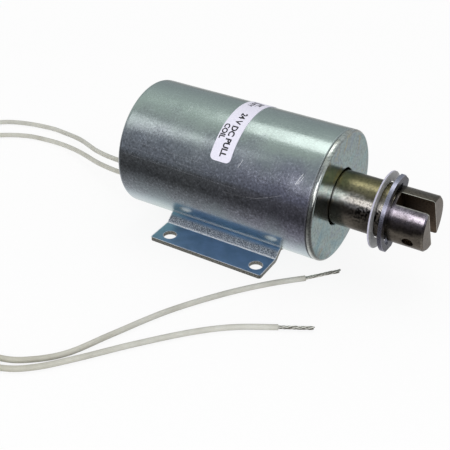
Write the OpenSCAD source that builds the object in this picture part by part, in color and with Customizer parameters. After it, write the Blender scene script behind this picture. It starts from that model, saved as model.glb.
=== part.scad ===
// Push pull solenoid: a tubular case on a welded foot bracket, with a slotted plunger and two leads.
// Millimetres. The origin is the centre of the four bracket holes on the mounting plane.
// +X runs along the plunger and out of the front, +Z is up.

/* [Case] */
// Outside diameter of the case and of the front cap
case_d = 38.1; // [34:0.1:44]
// Length of the body from the rear lip to the front face
body_len = 63.5; // [57:0.5:70]
// Wall thickness of the case and of its rolled rear lip
case_wall = 1.6; // [1.2:0.1:1.8]
// Outside corner radius where the case is rolled over the rear plate
roll_r = 1.4; // [0.6:0.1:1.6]
// Width of the rear lip inside the case bore
lip_w = 2.2; // [1:0.1:2.6]
// Distance of the body centre ahead of the bracket centre
body_shift = 0.5; // [-2:0.1:2]

/* [Front cap] */
// Thickness of the cap rim that shows at the front
cap_rim = 1.6; // [1.2:0.1:3]
// Length of the spigot that enters the case
cap_spigot = 3.2; // [2:0.1:4]
// Gap round the plunger in the cap bore
cap_gap = 0.55; // [0.45:0.05:1]
// Chamfer on the edge of the cap bore
bore_chamfer = 0.2; // [0.1:0.05:0.4]
// Lead-in chamfer on the spigot
spigot_chamfer = 0.4; // [0.2:0.1:0.8]
// Rounding of the front edge of the cap
cap_round = 0.8; // [0.2:0.1:1.2]
// Chamfer on each side of the fine joint line between cap and case
joint_chamfer = 0.25; // [0.1:0.05:0.4]

/* [Plunger] */
// Plunger diameter
plunger_d = 15.6; // [14.8:0.1:16]
// Travel from the drawn-out rest position to the seated position
stroke = 15; // [8:0.1:16]
// Plunger length beyond the outer face of the retaining ring
tip_out = 10.2; // [10:0.1:16]
// Chamfer round the tip
tip_chamfer = 0.5; // [0.2:0.1:1]
// Chamfer round the shoulder inside the case
shoulder_chamfer = 0.3; // [0.1:0.1:0.6]
// Width of the clevis slot
slot_w = 4; // [3:0.1:6]
// Depth of the clevis slot from the tip
slot_depth = 9.2; // [7.5:0.1:9.5]
// Lean of the clevis slot from the vertical, in degrees
slot_turn = 25; // [0:1:179]
// Diameter of the cross hole for the clevis pin
pin_hole_d = 3.2; // [2.4:0.1:4]
// Distance of the cross hole from the tip
pin_hole_back = 4.15; // [3:0.05:5]
// Length of the conical nose inside the case
nose_len = 7.3; // [5:0.1:8]
// Diameter of the nose where it leaves the shoulder
nose_d = 12.4; // [11.4:0.1:13]
// Half angle of the nose and of its seat
nose_angle = 30; // [26:1:33]

/* [Retaining ring and washer] */
// Outside diameter of the retaining ring
ring_d = 22; // [20:0.1:24]
// Thickness of the retaining ring
ring_t = 1.1; // [0.8:0.1:1.4]
// Diameter of the ring groove in the plunger
groove_d = 12.4; // [11.6:0.1:13]
// Diameter of the two recesses inside the ring
recess_d = 18; // [16.8:0.1:18.6]
// Turn of the ring's mouth below +Y, in degrees
ring_turn = 24; // [0:1:359]
// Width of the ring's mouth
mouth_w = 11.2; // [10.6:0.1:11.6]
// Distance of the arm ends from the centre
prong_out = 3.2; // [3:0.1:4.5]
// Rounding of the outer corner of an arm end
prong_round = 1.4; // [0.4:0.1:1.6]
// Half angle of the middle prong
prong_half = 17; // [12:1:24]
// Angle from the middle prong to the inner end of an outer prong
recess_end = 79; // [60:1:84]
// Distance of the flats on the two arms from the centre
ring_flat = 9.9; // [9.4:0.1:10.8]
// Angle of the flats from the middle of the mouth
flat_turn = 72; // [60:1:85]
// Outside diameter of the nylon washer
washer_d = 22; // [19:0.1:24]
// Thickness of the nylon washer
washer_t = 0.5; // [0.5:0.1:1.5]
// Rounding of the washer edges
washer_round = 0.15; // [0.05:0.05:0.2]
// Play between washer and ring in the rest position
washer_play = 2.4; // [0.5:0.1:3]

/* [Coil and core] */
// Thickness of the rear plate
plate_t = 4.2; // [3:0.1:5]
// Wall thickness of the brass guide tube
guide_wall = 0.4; // [0.3:0.05:0.5]
// Wall thickness of the bobbin barrel
bobbin_wall = 1.1; // [0.8:0.1:1.4]
// Thickness of the bobbin's front flange
front_flange = 1.8; // [1.2:0.1:2.5]
// Thickness of the bobbin's rear flange, which holds the lead splices
rear_flange = 6; // [5.5:0.1:8]
// Clearance of the bobbin's flanges in the case
flange_fit = 0.4; // [0.2:0.05:0.8]
// Depth of the winding below the rims of the flanges
coil_recess = 1.5; // [0.5:0.1:3]
// Thickness of the tape round the winding
tape_t = 0.25; // [0.1:0.05:0.3]
// Length of the fixed core ahead of the rear plate
pole_len = 14.45; // [12:0.05:16]
// Diameter of the staked stud of the pole piece
stud_d = 10; // [8:0.1:11]
// Height of the staked stud head behind the rear plate
stake_h = 0.7; // [0.4:0.1:1]
// Width of the staked head's rim beyond the stud
stake_out = 0.5; // [0.2:0.1:1]
// Thickness of the non-magnetic shim on the pole face
shim_t = 0.25; // [0.1:0.05:0.4]
// Distance of the shim's edges inside the edges of the pole face
shim_inset = 0.1; // [0.05:0.05:0.3]

/* [Bracket] */
// Sheet thickness
sheet_t = 1.2; // [1:0.1:1.5]
// Bracket length along the case
bracket_len = 37.6; // [33:0.1:50]
// Bracket width across the flanges
bracket_w = 41; // [36.5:0.1:48]
// Distance of the sheet's middle behind the hole centre
bracket_back = 0.5; // [0:0.1:0.5]
// Mean distance of the holes from the ends of the bracket
hole_end = 4; // [3.5:0.1:8]
// Distance of the holes from the outer edges of the flanges
hole_edge = 3.8; // [3.2:0.1:4.4]
// Diameter of the mounting holes
hole_d = 4; // [3:0.1:4.4]
// Air gap between the saddle and the mounting plane
saddle_gap = 0.85; // [0.5:0.05:1.2]
// Half angle of the saddle under the case
saddle_half = 22; // [18:1:24]
// Slope of the webs between saddle and flanges
web_slope = 39; // [34:1:46]
// Bend radius inside the folds
bend_r = 0.6; // [0.3:0.1:0.8]
// Corner radius of the flanges
corner_r = 0.8; // [0.5:0.1:3]
// Spacing of the spot welds along the case
weld_pitch = 22; // [10:1:28]
// Depth of the dimple left by a spot weld
weld_dent = 0.2; // [0.1:0.05:0.3]

/* [Label] */
// Width of the label along the case
label_w = 6.4; // [5:0.1:12]
// Length of the label round the case
label_len = 38; // [20:0.5:40]
// Corner radius of the label
label_corner = 1.4; // [0.5:0.1:2.4]
// Thickness of the label
label_t = 0.12; // [0.08:0.01:0.2]
// Position of the label centre along the case
label_x = 2.3; // [-8:0.1:10]
// Angle of the label's lower end, from +Y over the top
label_end = 147.5; // [140:0.5:160]

/* [Leads] */
// Diameter of a lead over its insulation
lead_d = 1.6; // [1.4:0.1:1.8]
// Spacing of the two leads where they leave the rear plate
lead_pitch = 6; // [5:0.1:6.5]
// Distance of the leads from the rim of the rear opening
lead_edge = 2.75; // [2.4:0.05:4]
// Diameter of one conductor strand
strand_d = 0.34; // [0.24:0.02:0.38]
// Length of the bare end of the long lead
bare_a = 9.6; // [6:0.1:12]
// Length of the bare end of the short lead
bare_b = 11; // [6:0.1:12]
// Height of the bushing flange behind the rear plate
bush_flange = 0.8; // [0.5:0.1:1.2]
// Wall thickness of the bushing round a lead
bush_wall = 0.9; // [0.6:0.05:1]
// Width of the bushing flange beyond the hole
bush_lip = 0.4; // [0.2:0.1:0.6]
// Wall thickness of a crimp splice round a lead
splice_wall = 0.3; // [0.2:0.05:0.4]
// Distance of a splice ahead of the rear plate
splice_set = 1; // [0.5:0.1:1.5]
// Bobbin wall left between a splice pocket and the winding
pocket_floor = 1; // [0.6:0.1:1.5]
// Diameter of the winding wire that runs to a splice
tail_d = 0.6; // [0.3:0.05:0.8]

/* [Fits] */
// Radial clearance of the plunger in its guide tube
run_fit = 0.05; // [0.02:0.01:0.1]
// Radial clearance of parts that are pressed or dropped together
press_gap = 0.05; // [0.02:0.01:0.1]
// Clearance round the retaining ring in its groove
groove_fit = 0.05; // [0.03:0.01:0.1]
// Radial clearance of the washer on the plunger
washer_fit = 0.25; // [0.2:0.05:0.5]
// Air gap left between the plunger and the shim when seated
seat_gap = 0.3; // [0.15:0.05:0.6]
// Radial clearance of the nose at the rim of its seat
nose_fit = 0.2; // [0.1:0.05:0.4]
// Depth left under the end of the nose when the pole face is level with the shoulder
nose_floor = 0.3; // [0.1:0.1:0.6]
// Clearance of a splice in its pocket
pocket_fit = 0.2; // [0.1:0.05:0.3]
// Gap between the label or the saddle and the case
skin_gap = 0.02; // [0.01:0.01:0.04]

/* [Hidden] */
$fn = 96;
eps = 0.01;

case_r = case_d / 2;
bore_r = case_r - case_wall;
axis_h = case_r + skin_gap + sheet_t + saddle_gap;
front_x = body_len / 2 + body_shift;
rear_x = front_x - body_len;
hole_pitch_x = bracket_len - 2 * hole_end;
hole_pitch_y = bracket_w - 2 * hole_edge;
cap_back = front_x - cap_rim;
spigot_x = cap_back - cap_spigot;
plate_back = rear_x + case_wall;
plate_front = plate_back + plate_t;
lip_r = bore_r - lip_w;

plunger_r = plunger_d / 2;
guide_in = plunger_r + run_fit;
guide_out = guide_in + guide_wall;
barrel_in = guide_out + press_gap;
barrel_r = barrel_in + bobbin_wall;
flange_r = bore_r - flange_fit;
coil_r = flange_r - coil_recess;
coil_back = plate_front + rear_flange;
coil_front = spigot_x - front_flange;

ring_x = front_x + washer_t + stroke;
groove_back = ring_x - groove_fit;
groove_front = ring_x + ring_t + groove_fit;
washer_x = ring_x - washer_play - washer_t;
tip_x = ring_x + ring_t + tip_out;
nose_tip_r = nose_d / 2 - nose_len * tan(nose_angle);
seat_r = nose_d / 2 + nose_fit;
seat_depth = nose_len + nose_floor;
seat_x = plate_front + pole_len;
shoulder_x = seat_x + shim_t + seat_gap + stroke;

lead_r = lead_d / 2;
lead_drop = lip_r - lead_edge;
lead_z = axis_h - lead_drop;
splice_r = lead_r + splice_wall;
pocket_r = splice_r + pocket_fit;
splice_x = plate_front + splice_set;
pocket_len = rear_flange - pocket_floor;
bush_r = lead_r + bush_wall;

// Routes of the two leads: out of the rear plate, down to the bench, round and back to the front.
route_a = [
    [splice_x, lead_pitch / 2, lead_z], [rear_x - 1, lead_pitch / 2, lead_z],
    [-41, 3.2, 7.6], [-51, 5, 6], [-62, 9, 4], [-73.5, 14.5, 2.4], [-83, 17.2, 1.3],
    [-91, 18, 0.9], [-101.5, 16, 0.9], [-109.5, 12, 0.9], [-118, 3, 0.9], [-124, -10, 0.9],
    [-125, -27, 0.9], [-118, -45, 0.9], [-105, -60, 0.9], [-86, -73, 0.9], [-65, -82, 0.9],
    [-44, -87.5, 0.9], [-30, -88.5, 0.9], [-18.5, -86, 0.9], [-11.5, -81.5, 0.9],
    [-4.5, -73.5, 0.9], [4.5, -62, 0.9], [14.5, -50.5, 0.9], [23, -43, 0.9], [33, -37, 0.9]
];
route_b = [
    [splice_x, -lead_pitch / 2, lead_z], [rear_x - 1, -lead_pitch / 2, lead_z],
    [-39.5, -2.5, 7.4], [-46.5, -1, 6], [-57, 3, 3.8], [-68, 7.5, 2.3], [-77, 10, 1.3],
    [-85, 10.5, 0.9], [-94, 9, 0.9], [-102.5, 4.5, 0.9], [-111, -3.5, 0.9], [-117, -15, 0.9],
    [-118, -29, 0.9], [-112, -43.5, 0.9], [-100, -57, 0.9], [-82, -69, 0.9], [-63, -77, 0.9],
    [-44, -82.5, 0.9], [-31, -84.5, 0.9], [-21.5, -83.5, 0.9], [-15, -80.5, 0.9],
    [-8, -73.5, 0.9], [-2.5, -61.5, 0.9], [4.5, -46.5, 0.9], [13.5, -32.5, 0.9],
    [22, -22, 0.9], [29.5, -14.5, 0.9]
];
tip_dir_a = [8.4, 4.6, 0];
tip_dir_b = [7.1, 8.5, 0];
// Angle of a spot weld from the lowest line of the saddle, and the ball that dents it.
weld_angle = 9;
weld_ball = 3;
// Length and number of sides of one stretch of a swept lead.
ring_step = 9.2;
ring_sides = 8;
// Spacing of the strands in strand diameters, and their twist over a bare end.
strand_pack = 0.92;
strand_turn = 540;

// Places a shape drawn round local Z on the solenoid axis, with local Z along +X and local Y kept.
module on_axis(x = 0) {
    translate([x, 0, axis_h]) rotate([0, 90, 0]) children();
}

// Points of an arc about a centre, from angle a0 to a1, as a list for a profile.
function arc(centre, r, a0, a1, steps) =
    [for (i = [0:steps]) centre + r * [cos(a0 + (a1 - a0) * i / steps), sin(a0 + (a1 - a0) * i / steps)]];

// A tube of two radii along the axis.
module sleeve(r_in, r_out, x0, x1) {
    on_axis(x0) difference() {
        cylinder(r = r_out, h = x1 - x0);
        translate([0, 0, -eps]) cylinder(r = r_in, h = x1 - x0 + 2 * eps);
    }
}

// A prism with round ends, centred, lying across the two leads.
module obround(r, pitch, h) {
    translate([-r, -pitch / 2, 0]) cube([2 * r, pitch, h]);
    for (s = [-1, 1]) translate([0, s * pitch / 2, 0]) cylinder(r = r, h = h);
}

// Repeats children at both leads, drawn round local Z on each lead's axis.
module at_leads(x) {
    for (s = [-1, 1]) on_axis(x) translate([lead_drop, s * lead_pitch / 2, 0]) children();
}

module case_tube() {
    color("silver") on_axis() rotate_extrude() polygon(concat(
        [[lip_r, plate_back], [lip_r, rear_x]],
        arc([case_r - roll_r, rear_x + roll_r], roll_r, -90, 0, 6),
        [[case_r, cap_back - joint_chamfer], [case_r - joint_chamfer, cap_back],
         [bore_r, cap_back], [bore_r, plate_back]]
    ));
}

module front_cap() {
    bore = plunger_r + cap_gap;
    spigot_r = bore_r - press_gap;
    color("lightslategray") on_axis() rotate_extrude() polygon(concat(
        [[bore, spigot_x], [spigot_r - spigot_chamfer, spigot_x], [spigot_r, spigot_x + spigot_chamfer],
         [spigot_r, cap_back], [case_r - joint_chamfer, cap_back], [case_r, cap_back + joint_chamfer]],
        arc([case_r - cap_round, front_x - cap_round], cap_round, 0, 90, 6),
        [[bore + bore_chamfer, front_x], [bore, front_x - bore_chamfer]]
    ));
}

module rear_plate() {
    color("silver") difference() {
        on_axis(plate_back) difference() {
            cylinder(r = bore_r - press_gap, h = plate_t);
            translate([0, 0, -eps]) cylinder(d = stud_d + 2 * press_gap, h = plate_t + 2 * eps);
        }
        on_axis(plate_back - eps) translate([lead_drop, 0, 0])
            obround(bush_r + press_gap, lead_pitch, plate_t + 2 * eps);
    }
}

// Fixed core: a stud staked through the rear plate and a conical seat for the plunger nose.
module pole_piece() {
    stud_r = stud_d / 2;
    color("gray") on_axis() rotate_extrude() polygon([
        [0, plate_back - stake_h], [stud_r - stake_out, plate_back - stake_h],
        [stud_r + stake_out, plate_back - stake_h / 2], [stud_r + stake_out, plate_back],
        [stud_r, plate_back], [stud_r, plate_front],
        [plunger_r, plate_front], [plunger_r, seat_x],
        [seat_r, seat_x], [seat_r - seat_depth * tan(nose_angle), seat_x - seat_depth],
        [0, seat_x - seat_depth]
    ]);
}

module residual_shim() {
    color("goldenrod") sleeve(seat_r + shim_inset, plunger_r - shim_inset, seat_x, seat_x + shim_t);
}

module guide_tube() {
    color("darkgoldenrod") sleeve(guide_in, guide_out, plate_front, spigot_x);
}

// Moulded bobbin with a thick rear flange, pocketed for the two splices.
module bobbin() {
    color("ivory") difference() {
        on_axis() rotate_extrude() polygon([
            [barrel_in, plate_front], [flange_r, plate_front], [flange_r, coil_back],
            [barrel_r, coil_back], [barrel_r, coil_front], [flange_r, coil_front],
            [flange_r, spigot_x], [barrel_in, spigot_x]
        ]);
        at_leads(plate_front - eps) cylinder(r = pocket_r, h = pocket_len + eps, $fn = 32);
        at_leads(coil_back - pocket_floor - eps)
            cylinder(d = tail_d + 2 * press_gap, h = pocket_floor + 2 * eps, $fn = 24);
    }
}

module coil_winding() {
    color("peru") sleeve(barrel_r + press_gap, coil_r, coil_back, coil_front);
}

module coil_tape() {
    color("khaki") sleeve(coil_r, coil_r + tape_t, coil_back, coil_front);
}

// Ends of the winding wire, from the splices to the winding.
module coil_tails() {
    color("peru") at_leads(coil_back - pocket_floor) cylinder(d = tail_d, h = pocket_floor, $fn = 24);
}

// Crimp splices that join the leads to the winding.
module lead_splices() {
    color("gainsboro") at_leads(splice_x)
        cylinder(r = splice_r, h = plate_front + pocket_len - splice_x, $fn = 32);
}

// Nylon bushing that lines the lead hole of the rear plate.
module lead_bushing() {
    color("white") difference() {
        union() {
            on_axis(plate_back) translate([lead_drop, 0, 0]) obround(bush_r, lead_pitch, plate_t);
            on_axis(plate_back - bush_flange) translate([lead_drop, 0, 0])
                obround(bush_r + bush_lip, lead_pitch, bush_flange);
        }
        at_leads(plate_back - bush_flange - eps)
            cylinder(r = lead_r + press_gap, h = plate_t + bush_flange + 2 * eps, $fn = 32);
    }
}

// One face of the folded sheet from the middle outwards, at distance h above the sheet's middle.
function sheet_face(h) =
    let (
        saddle_c = case_r + skin_gap + sheet_t / 2, bend_c = bend_r + sheet_t / 2,
        top = [0, axis_h] + (saddle_c + bend_c) * [sin(saddle_half), -cos(saddle_half)],
        drop = top[1] + 2 * bend_c * cos(web_slope) - bend_c - sheet_t / 2,
        foot = [top[0] + 2 * bend_c * sin(web_slope) + drop / tan(web_slope), bend_c + sheet_t / 2]
    )
    concat(
        arc([0, axis_h], saddle_c - h, -90, saddle_half - 90, 8),
        arc(top, bend_c + h, 90 + saddle_half, 90 - web_slope, 8),
        arc(foot, bend_c - h, 270 - web_slope, 270, 6),
        [[bracket_w / 2, sheet_t / 2 + h]]
    );

function reverse(list) = [for (i = [len(list) - 1:-1:0]) list[i]];
function flip(list) = [for (p = list) [-p[0], p[1]]];

// Outline of the bracket seen from above, with rounded corners.
module bracket_outline(h) {
    l = bracket_len / 2;
    w = bracket_w / 2;
    translate([-l, corner_r - w, 0]) cube([2 * l, 2 * (w - corner_r), h]);
    translate([corner_r - l, -w, 0]) cube([2 * (l - corner_r), 2 * w, h]);
    for (x = [-1, 1], y = [-1, 1])
        translate([x * (l - corner_r), y * (w - corner_r), 0]) cylinder(r = corner_r, h = h, $fn = 32);
}

// Folded foot bracket: saddle, two webs and two flanges with the mounting holes.
module mounting_bracket() {
    upper = sheet_face(sheet_t / 2);
    lower = sheet_face(-sheet_t / 2);
    outline = concat(upper, reverse(lower), flip(lower), reverse(flip(upper)));
    color("steelblue") difference() {
        translate([-bracket_back, 0, 0]) intersection() {
            rotate([90, 0, 90]) linear_extrude(bracket_len, center = true) polygon(outline);
            bracket_outline(axis_h);
        }
        for (x = [-1, 1], y = [-1, 1])
            translate([x * hole_pitch_x / 2, y * hole_pitch_y / 2, -eps])
                cylinder(d = hole_d, h = sheet_t + 2 * eps);
        for (x = [-1, 1], y = [-1, 1])
            translate([x * weld_pitch / 2, 0, axis_h]) rotate([y * weld_angle, 0, 0])
                translate([0, 0, -case_r - skin_gap - sheet_t - weld_ball + weld_dent])
                    sphere(r = weld_ball, $fn = 32);
    }
}

// Paper label wrapped round the case, with rounded corners.
module rating_label() {
    r_in = case_r + skin_gap;
    span = label_len / case_r * 180 / PI;
    reach = 2 * label_corner;
    color("lavender") on_axis(label_x) difference() {
        rotate([0, 0, label_end + 90 - span]) rotate_extrude(angle = span)
            translate([r_in, -label_w / 2]) square([label_t, label_w]);
        for (e = [[label_end + 90, 1], [label_end + 90 - span, -1]], s = [-1, 1])
            rotate([0, 0, e[0]]) translate([r_in - label_corner, 0, s * (label_w / 2 - label_corner)])
                rotate([0, 90, 0]) difference() {
                    translate([s > 0 ? -reach : 0, e[1] > 0 ? -label_corner : -reach, 0])
                        cube([reach, label_corner + reach, reach]);
                    translate([0, -e[1] * label_corner, -eps])
                        cylinder(r = label_corner, h = reach + 2 * eps, $fn = 48);
                }
    }
}

// Nose, body, ring groove and chamfered tip as one turned form, then the clevis slot and cross hole.
module plunger() {
    color("darkkhaki") difference() {
        on_axis() rotate_extrude() polygon([
            [0, shoulder_x - nose_len], [nose_tip_r, shoulder_x - nose_len], [nose_d / 2, shoulder_x],
            [plunger_r - shoulder_chamfer, shoulder_x], [plunger_r, shoulder_x + shoulder_chamfer],
            [plunger_r, groove_back], [groove_d / 2, groove_back],
            [groove_d / 2, groove_front], [plunger_r, groove_front],
            [plunger_r, tip_x - tip_chamfer], [plunger_r - tip_chamfer, tip_x], [0, tip_x]
        ]);
        on_axis(tip_x - slot_depth) rotate([0, 0, slot_turn])
            translate([-plunger_d, -slot_w / 2, 0]) cube([2 * plunger_d, slot_w, slot_depth + eps]);
        on_axis(tip_x - pin_hole_back) rotate([90, 0, slot_turn])
            cylinder(d = pin_hole_d, h = 2 * plunger_d, center = true, $fn = 48);
    }
}

// Outline that bounds a ring whose mouth faces +Y: a flat on each arm, a rounded corner and the arm ends.
module arm_outline() {
    lean = 90 - flat_turn;
    corner_y = prong_out - prong_round;
    corner_x = (ring_flat - prong_round - corner_y * sin(lean)) / cos(lean);
    far_x = (ring_flat + ring_d * sin(lean)) / cos(lean);
    polygon(concat(
        [[-far_x, -ring_d], [far_x, -ring_d]], arc([corner_x, corner_y], prong_round, lean, 90, 6),
        arc([-corner_x, corner_y], prong_round, 90, 180 - lean, 6)
    ));
}

// Open retaining ring with three prongs.
module retaining_ring() {
    color("dimgray") on_axis(ring_x) rotate(-ring_turn) linear_extrude(ring_t) difference() {
        intersection() {
            circle(d = ring_d);
            arm_outline();
        }
        circle(r = groove_d / 2 + groove_fit);
        translate([-mouth_w / 2, 0]) square([mouth_w, ring_d]);
        for (s = [-1, 1]) intersection() {
            circle(d = recess_d);
            polygon(concat([[0, 0]], arc([0, 0], ring_d, s * prong_half - 90, s * recess_end - 90, 4)));
        }
    }
}

module nylon_washer() {
    r_in = plunger_r + washer_fit;
    r_out = washer_d / 2;
    q = washer_round;
    color("whitesmoke") on_axis(washer_x) rotate_extrude() polygon(concat(
        arc([r_in + q, q], q, 180, 270, 4), arc([r_out - q, q], q, 270, 360, 4),
        arc([r_out - q, washer_t - q], q, 0, 90, 4), arc([r_in + q, washer_t - q], q, 90, 180, 4)
    ));
}

// A point of the smooth curve between route points i and i + 1, at t from 0 to 1.
function at(p, i) = p[max(0, min(len(p) - 1, i))];
function curve_point(p, i, t) =
    (2 * at(p, i) + (at(p, i + 1) - at(p, i - 1)) * t
    + (2 * at(p, i - 1) - 5 * at(p, i) + 4 * at(p, i + 1) - at(p, i + 2)) * t * t
    + (3 * at(p, i) - at(p, i - 1) - 3 * at(p, i + 1) + at(p, i + 2)) * t * t * t) / 2;

// The route as a list of centres, one about every ring_step.
function centres(p) = concat(
    [for (i = [0:len(p) - 2])
        let (n = max(1, round(norm(p[i + 1] - p[i]) / ring_step)))
            for (k = [0:n - 1]) curve_point(p, i, k / n)],
    [p[len(p) - 1]]
);

// A ring of the tube about centre c, square to direction d.
function ring_points(c, d) =
    let (u = d / norm(d), side = cross(u, [0, 0, 1]) / norm(cross(u, [0, 0, 1])), up = cross(side, u))
        [for (k = [0:ring_sides - 1])
            c + lead_r * (cos(360 * k / ring_sides) * side + sin(360 * k / ring_sides) * up)];

// A round lead swept along its route.
module lead_tube(route) {
    c = centres(route);
    last = len(c) - 1;
    points = [for (i = [0:last]) each ring_points(c[i], c[min(last, i + 1)] - c[max(0, i - 1)])];
    sides = [for (i = [0:last - 1], k = [0:ring_sides - 1])
        let (a = i * ring_sides + k, b = i * ring_sides + (k + 1) % ring_sides)
            each [[a, b, b + ring_sides], [a, b + ring_sides, a + ring_sides]]];
    polyhedron(points, concat(
        sides, [[for (k = [ring_sides - 1:-1:0]) k]], [[for (k = [0:ring_sides - 1]) last * ring_sides + k]]
    ));
}

// Bare twisted strands at the end of a lead.
module strands(route, dir, length) {
    translate(route[len(route) - 1]) rotate([0, 90, atan2(dir[1], dir[0])])
        linear_extrude(length, twist = -strand_turn, slices = 12, $fn = 6) {
            circle(d = strand_d);
            for (k = [0:5]) rotate(60 * k) translate([strand_pack * strand_d, 0]) circle(d = strand_d);
        }
}

module lead_wire_a() { color("linen") lead_tube(route_a); }

module lead_wire_b() { color("linen") lead_tube(route_b); }

module lead_tip_a() { color("lightgray") strands(route_a, tip_dir_a, bare_a); }

module lead_tip_b() { color("lightgray") strands(route_b, tip_dir_b, bare_b); }

case_tube();
front_cap();
rear_plate();
pole_piece();
residual_shim();
guide_tube();
bobbin();
coil_winding();
coil_tape();
coil_tails();
lead_splices();
lead_bushing();
mounting_bracket();
rating_label();
plunger();
retaining_ring();
nylon_washer();
lead_wire_a();
lead_wire_b();
lead_tip_a();
lead_tip_b();
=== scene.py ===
import bpy
import numpy as np
from functools import partial
from mathutils import Matrix, Vector


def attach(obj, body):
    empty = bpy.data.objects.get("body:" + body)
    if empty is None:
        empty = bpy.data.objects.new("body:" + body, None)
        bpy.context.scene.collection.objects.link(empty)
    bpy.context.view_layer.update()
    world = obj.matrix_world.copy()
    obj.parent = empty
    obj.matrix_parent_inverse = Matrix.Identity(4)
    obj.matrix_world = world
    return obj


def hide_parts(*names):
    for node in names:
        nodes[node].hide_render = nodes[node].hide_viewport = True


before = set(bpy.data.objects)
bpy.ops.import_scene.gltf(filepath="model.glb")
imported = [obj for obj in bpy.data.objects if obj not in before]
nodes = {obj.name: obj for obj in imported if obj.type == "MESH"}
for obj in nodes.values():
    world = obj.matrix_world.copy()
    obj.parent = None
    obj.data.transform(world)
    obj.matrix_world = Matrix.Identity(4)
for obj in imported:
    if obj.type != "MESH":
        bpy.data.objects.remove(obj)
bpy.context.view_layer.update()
mm = 0.001
axisHeight = 21.12  # height of the plunger axis in millimetres


def linear(hexColour):  # "#rrggbb" as sRGB, to the linear colour that Blender works in
    channels = [int(hexColour[i:i + 2], 16) / 255 for i in (1, 3, 5)]
    return [c / 12.92 if c <= 0.04045 else ((c + 0.055) / 1.055) ** 2.4 for c in channels] + [1]


def addNode(tree, kind, inputs=None, stops=None, **settings):
    # One node with its settings and links. Inputs are values, sockets, or nodes, whose first output in use
    # is taken. Stops are (position, hex colour or grey value).
    made = tree.nodes.new("ShaderNode" + kind)
    for name, value in settings.items():
        setattr(made, name, value)
    for name, value in (inputs or {}).items():
        if name in ("From", "To"):  # both ends of a range
            made.inputs[name + " Min"].default_value, made.inputs[name + " Max"].default_value = value
            continue
        socket = made.inputs[name]
        if isinstance(value, bpy.types.Node):
            value = next(output for output in value.outputs if output.enabled)
        if isinstance(value, bpy.types.NodeSocket):
            tree.links.new(value, socket)
        else:
            socket.default_value = value
    if stops:
        band = made.color_ramp.elements
        while len(band) < len(stops):
            band.new(0.5)
        for element, (position, colour) in zip(band, stops):
            element.position = position
            element.color = linear(colour) if isinstance(colour, str) else [colour, colour, colour, 1]
    return made


coloured = {"data_type": "RGBA"}  # settings of a node that mixes colours, and of one that multiplies them
multiplied = {"data_type": "RGBA", "blend_type": "MULTIPLY"}


def material(name):  # an empty material, and the function that adds a node to it
    made = bpy.data.materials.new(name)
    made.use_nodes = True
    made.node_tree.nodes.clear()
    return made, partial(addNode, made.node_tree)


def partPlace(add):
    # Where a point of the part lies, in millimetres: the place itself, the distance along the axis and out
    # from it, and the angle round it in radians, 0 on top and positive towards the front (-Y).
    place = add("TexCoord").outputs["Object"]
    place = add("VectorMath", {0: place, "Scale": 1 / mm}, operation="SCALE")
    split = add("SeparateXYZ", {"Vector": place})
    above = add("Math", {0: split.outputs["Z"], 1: axisHeight}, operation="SUBTRACT")
    ahead = add("Math", {0: split.outputs["Y"], 1: -1}, operation="MULTIPLY")
    angle = add("Math", {0: ahead, 1: above}, operation="ARCTAN2")
    across = add("CombineXYZ", {"Y": ahead, "Z": above})
    out = add("VectorMath", {0: across}, operation="LENGTH")
    return place, split.outputs["X"], out, angle


def roundPlace(add, angle, drift, wander):
    # Place round the axis in turns, moved a little by a drifting pattern: underside (0), back (0.25), top
    # (0.5) and front (0.75).
    turns = add("MapRange", {"Value": angle, "From": (-np.pi, np.pi)})
    moved = add("MapRange", {"Value": drift, "To": wander})
    return add("Math", {0: turns, 1: moved}, operation="ADD")


def latheMarks(add, along, out, angle, pitch):  # marks that the tool left round the axis
    roundabout = add("CombineXYZ", {"X": along, "Y": out, "Z": angle})
    return add("TexNoise", {"Vector": roundabout, "Scale": 1 / pitch})


def squareTo(add, axis):  # how squarely the surface faces either way along an axis, 0 to 1
    facing = add("SeparateXYZ", {"Vector": add("NewGeometry").outputs["Normal"]})
    return add("Math", {0: facing.outputs[axis]}, operation="ABSOLUTE")


def dress(name, finish):  # gives a CAD node a finish in every slot
    for place in nodes[name].material_slots:
        place.material = finish
    if not nodes[name].material_slots:
        nodes[name].data.materials.append(finish)


def putIn(name, data):  # a new object in the scene
    made = bpy.data.objects.new(name, data)
    bpy.context.collection.objects.link(made)
    return made


def skin(name, points, faces, finish):  # a smooth piece from points and faces
    mesh = bpy.data.meshes.new(name)
    mesh.from_pydata(points.tolist(), [], faces)
    mesh.shade_smooth()
    mesh.materials.append(finish)
    return putIn(name, mesh)


def tubeFaces(rows, sides, first=0):
    # Faces of a closed tube whose points run as P[i, j]: quads join row i to row i + 1 and the last side to
    # the first, and one face closes each end. The first point has the number given.
    index = first + np.arange(rows * sides).reshape(rows, sides)
    after = np.roll(index, -1, axis=1)
    quads = np.stack([index[:-1], after[:-1], after[1:], index[1:]], axis=-1).reshape(-1, 4)
    return quads.tolist() + [index[0, ::-1].tolist(), index[-1].tolist()]


camera = {
    "place": (0.113759, -0.1979315, 0.1542836),
    "right": (0.85640, 0.51631, 0),
    "up": (-0.28878, 0.47899, 0.82896),
    "back": (0.42800, -0.70992, 0.55931),
    "lens": 71.72,
    "sensor": 36,
    "nearest": 0.01,
}
eye = putIn("eye", bpy.data.cameras.new("eye"))
eye.data.lens = camera["lens"]
eye.data.sensor_width = camera["sensor"]
eye.data.clip_start = camera["nearest"]
turn = Matrix((camera["right"], camera["up"], camera["back"])).transposed().to_4x4()
eye.matrix_world = Matrix.Translation(camera["place"]) @ turn
bpy.context.scene.camera = eye
print("camera set")

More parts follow.
